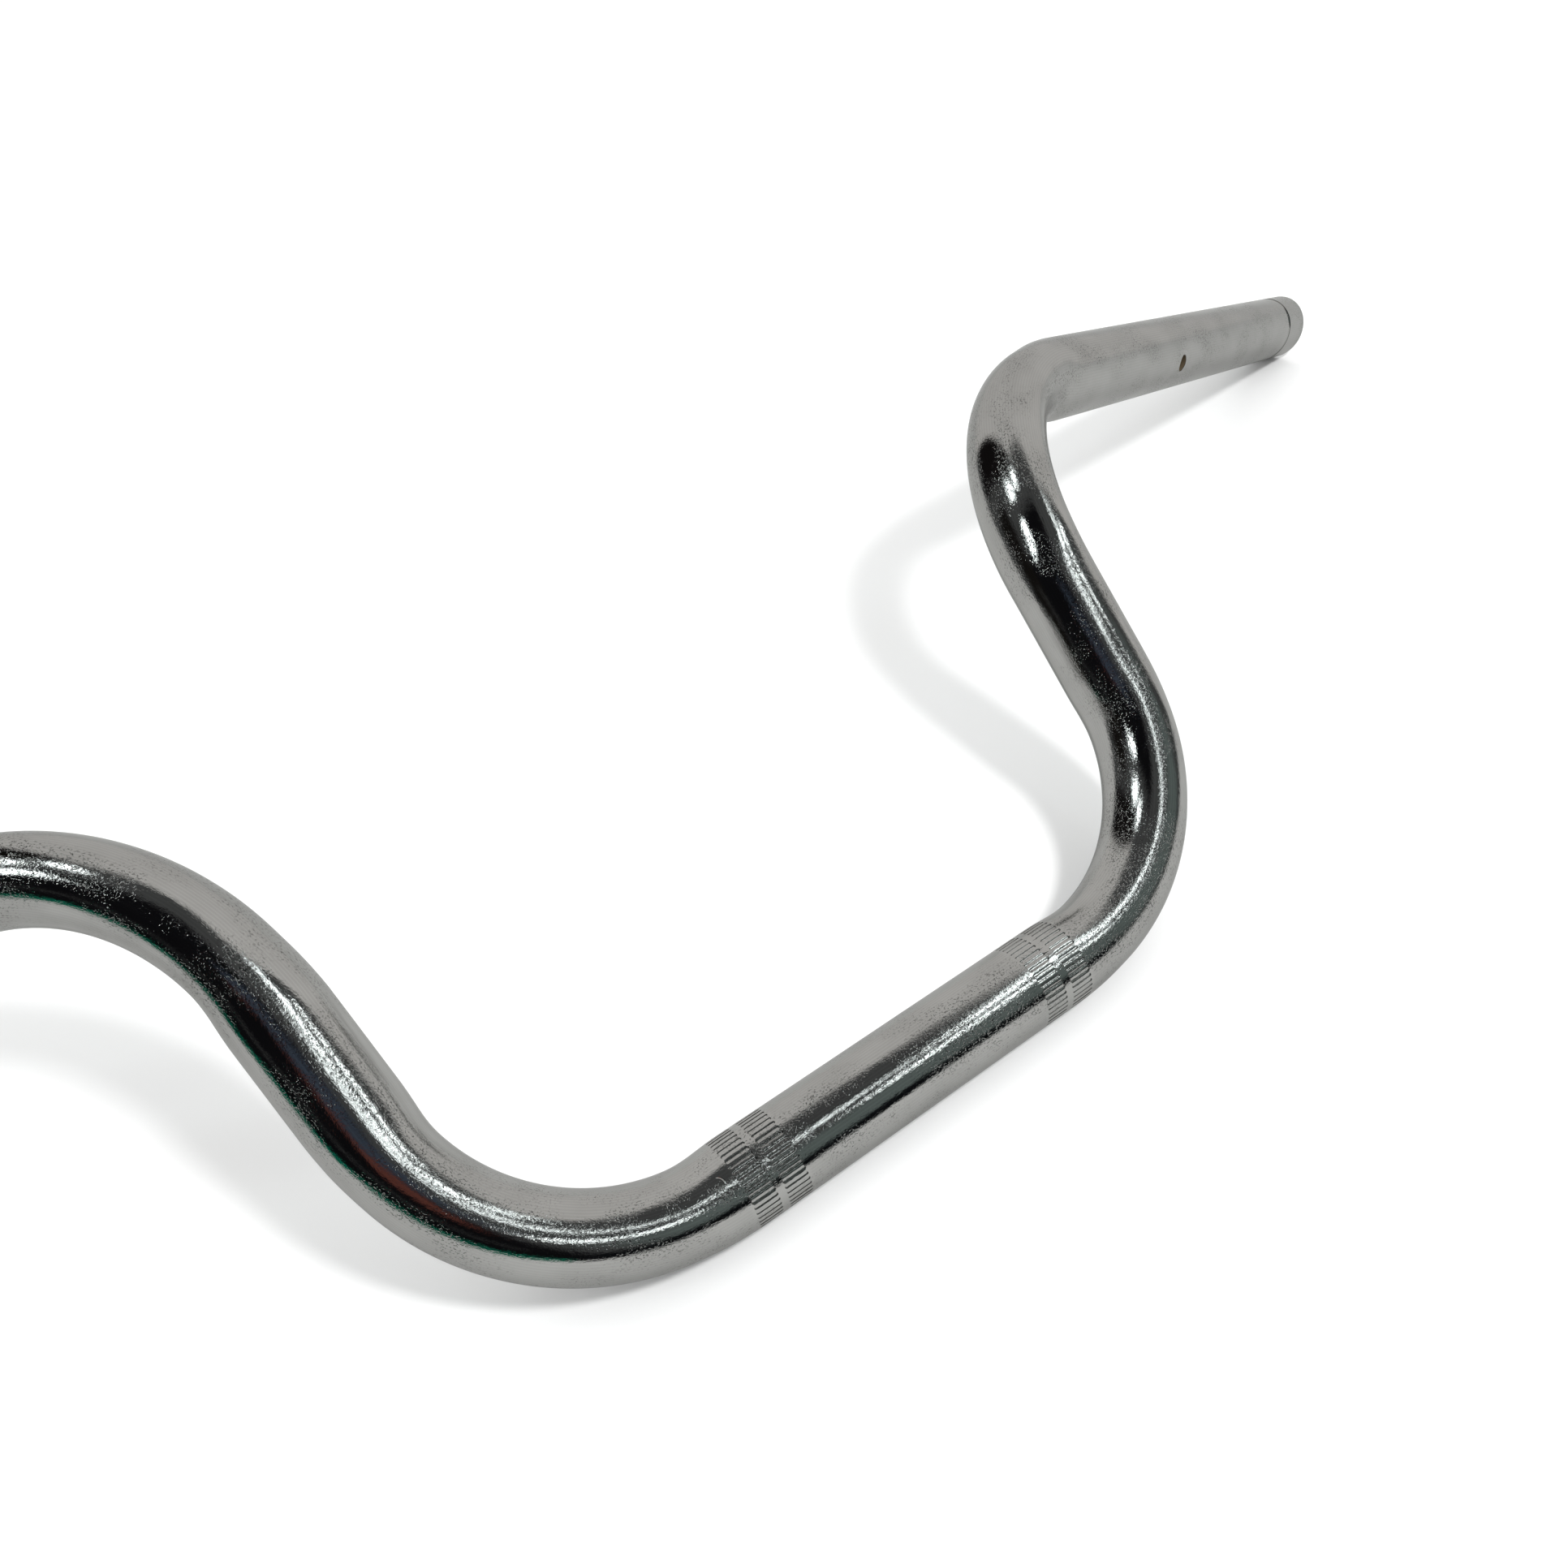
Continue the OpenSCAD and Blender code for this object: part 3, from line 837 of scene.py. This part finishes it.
floor_tone = node(floor_tree, "ShaderNodeMix", (300, 0), {
    0: seen_by_camera, 6: (0.42, 0.42, 0.411, 1), 7: (0.8, 0.8, 0.8, 1)}, data_type="RGBA")
floor_tree.links.new(floor_tone.outputs[2], floor_shader.inputs["Base Color"])
floor_shader.inputs["Roughness"].default_value = 1
floor_shader.inputs["Specular IOR Level"].default_value = 0
floor_data.materials.append(floor_material)


def sky_direction(azimuth, zenith):
    """The unit direction at that azimuth from +X towards +Y and angle from the zenith."""
    a, z = radians(azimuth), radians(zenith)
    return np.array([cos(a) * sin(z), sin(a) * sin(z), cos(z)])


def panel_group():
    """A soft-edged rectangle on the sky: 1 where the direction, seen from the panel's own three
    axes, lies within its half sizes, and 0 outside."""
    group = bpy.data.node_groups.new("sky_panel", "ShaderNodeTree")
    for name in ("Direction", "Middle", "Sideways", "Upwards"):
        group.interface.new_socket(name, in_out="INPUT", socket_type="NodeSocketVector")
    for name in ("Half Width", "Half Height", "Edge"):
        group.interface.new_socket(name, in_out="INPUT", socket_type="NodeSocketFloat")
    group.interface.new_socket("Mask", in_out="OUTPUT", socket_type="NodeSocketFloat")
    given = node(group, "NodeGroupInput").outputs

    def dot(axis):
        return node(group, "ShaderNodeVectorMath", operation="DOT_PRODUCT",
                    inputs={0: given["Direction"], 1: given[axis]}).outputs["Value"]

    def maths(operation, *values):
        return node(group, "ShaderNodeMath", operation=operation,
                    inputs=dict(enumerate(values))).outputs[0]

    ahead = maths("MAXIMUM", dot("Middle"), 0.001)
    masks = []
    for axis, half in (("Sideways", "Half Width"), ("Upwards", "Half Height")):
        off = maths("ABSOLUTE", maths("DIVIDE", dot(axis), ahead))
        inside = maths("DIVIDE", maths("SUBTRACT", given[half], off), given["Edge"])
        masks.append(node(group, "ShaderNodeMath", operation="ADD", use_clamp=True,
                          inputs={0: inside, 1: 0.5}).outputs[0])
    mask = maths("MULTIPLY", masks[0], masks[1])
    node(group, "NodeGroupOutput", inputs={"Mask": mask})
    return group


def make_surroundings():
    """A dark room with a white sweep behind the bar and a few lamps overhead."""
    world = bpy.data.worlds.new("studio")
    bpy.context.scene.world = world
    world.use_nodes = True
    tree = world.node_tree
    tree.nodes.clear()
    direction = node(tree, "ShaderNodeTexCoord").outputs["Generated"]
    split = node(tree, "ShaderNodeSeparateXYZ", inputs={0: direction}).outputs
    group = panel_group()

    def maths(operation, *values, clamp=False):
        return node(tree, "ShaderNodeMath", operation=operation, use_clamp=clamp,
                    inputs=dict(enumerate(values))).outputs[0]

    def over(colour, mask, below):
        return node(tree, "ShaderNodeMix", data_type="RGBA",
                    inputs={0: mask, 6: below, 7: (*colour, 1)}).outputs[2]

    def half_space(x, y, z, limit, edge):
        """1 where the direction's product with (x, y, z) is over the limit."""
        reach = node(tree, "ShaderNodeVectorMath", operation="DOT_PRODUCT",
                     inputs={0: direction, 1: (x, y, z)}).outputs["Value"]
        return maths("ADD", maths("DIVIDE", maths("SUBTRACT", reach, limit), edge), 0.5, clamp=True)

    def panel(azimuth, zenith, half_width, half_height, edge=0.02, twist=0.0):
        middle = sky_direction(azimuth, zenith)
        upwards = sky_direction(azimuth, zenith - 90)
        sideways = np.cross(middle, upwards)
        c, s = cos(radians(twist)), sin(radians(twist))
        turned = c * sideways + s * upwards, c * upwards - s * sideways
        return node(tree, "ShaderNodeGroup", node_tree=group, inputs={
            "Direction": direction, "Middle": middle, "Sideways": turned[0],
            "Upwards": turned[1], "Half Width": half_width, "Half Height": half_height,
            "Edge": edge,
        }).outputs["Mask"]

    sky = (0.075, 0.078, 0.078, 1)
    sky = over((0.14, 0.17, 0.163), panel(-58, 64, 0.65, 0.3, 0.2), sky)
    near_side = half_space(-0.34, -0.94, 0, 0, 0.12)
    right_side = half_space(-0.97, 0.26, 0, 0, 0.12)
    dark_side = maths("MULTIPLY", near_side, right_side)
    sky = over((0.006, 0.006, 0.007), dark_side, sky)
    sky = over((0.006, 0.007, 0.008), panel(-82, 82, 0.5, 0.16, 0.08), sky)
    sky = over((0.008, 0.007, 0.007), panel(107, 58, 0.28, 0.5, 0.1), sky)
    sky = over((0.01, 0.009, 0.008), panel(155, 70, 0.35, 0.2, 0.1), sky)
    sky = over((0.05, 0.052, 0.052), panel(-155, 66, 0.7, 0.02, 0.03), sky)
    sky = over((0.13, 0.045, 0.034), panel(-128, 46, 0.2, 0.11, 0.08), sky)
    sky = over((0.05, 0.065, 0.09), panel(-118, 34, 0.25, 0.09, 0.08), sky)
    sky = over((0.006, 0.16, 0.10), panel(-152, 86.5, 0.75, 0.06, 0.03), sky)
    sweep = maths("MULTIPLY", half_space(1, 0.13, 0, 0, 0.06), half_space(0.1, 1, 0, 0, 0.06))
    sweep = maths("MULTIPLY", sweep, half_space(0, 0, -1, -cos(radians(26)), 0.05))
    sky = over((0.65, 0.64, 0.62), sweep, sky)
    sky = over((0.64, 0.64, 0.63), half_space(0, 0, -1, 0.02, 0.02), sky)

    # Each lamp: its azimuth and zenith angle in degrees, half its width and height, its strength.
    lamps = [
        (-86.5, 44.5, 0.11, 0.022, 6), (-54, 43.5, 0.11, 0.025, 6), (-24, 44, 0.07, 0.028, 6),
        (-60, 29.5, 0.08, 0.03, 3), (-37, 33, 0.09, 0.03, 5), (-20, 31, 0.08, 0.03, 3),
        (136, 38, 0.07, 0.09, 6), (167, 41, 0.06, 0.09, 6),
        (124, 24, 0.07, 0.05, 6),
    ]
    for azimuth, zenith, half_width, half_height, strength in lamps:
        glow = (strength * 0.92, strength, strength)
        sky = over(glow, panel(azimuth, zenith, half_width, half_height, 0.03), sky)

    plain = node(tree, "ShaderNodeBackground", inputs={0: (1, 1, 1, 1), 1: 1.0})
    room = node(tree, "ShaderNodeBackground", inputs={0: sky, 1: 1.0})
    seen = node(tree, "ShaderNodeLightPath").outputs["Is Camera Ray"]
    shown = node(tree, "ShaderNodeMixShader",
                 inputs={0: seen, 1: room.outputs[0], 2: plain.outputs[0]})
    node(tree, "ShaderNodeOutputWorld", inputs={0: shown.outputs[0]})


make_surroundings()


def add_light(name, kind, energy, place=(0, 0, 1), **settings):
    """A light that isn't itself reflected."""
    data = bpy.data.lights.new(name, kind)
    data.energy = energy
    for key, value in settings.items():
        setattr(data, key, value)
    light = bpy.data.objects.new(name, data)
    light.location = place
    light.visible_glossy = False
    bpy.context.collection.objects.link(light)
    return light


overhead = add_light("overhead", "SUN", 2.6, angle=radians(170))
key = add_light("key", "POINT", 1.0, (0.117, -0.280, 0.515), shadow_soft_size=0.045)
key.data.use_nodes = True
key_tree = key.data.node_tree
key_tree.nodes.clear()
falloff = node(key_tree, "ShaderNodeLightFalloff", inputs={"Strength": 24.0})
glow = node(key_tree, "ShaderNodeEmission", inputs={"Strength": falloff.outputs["Constant"]})
node(key_tree, "ShaderNodeOutputLight", inputs={0: glow.outputs[0]})

bpy.context.scene.view_settings.view_transform = "Standard"
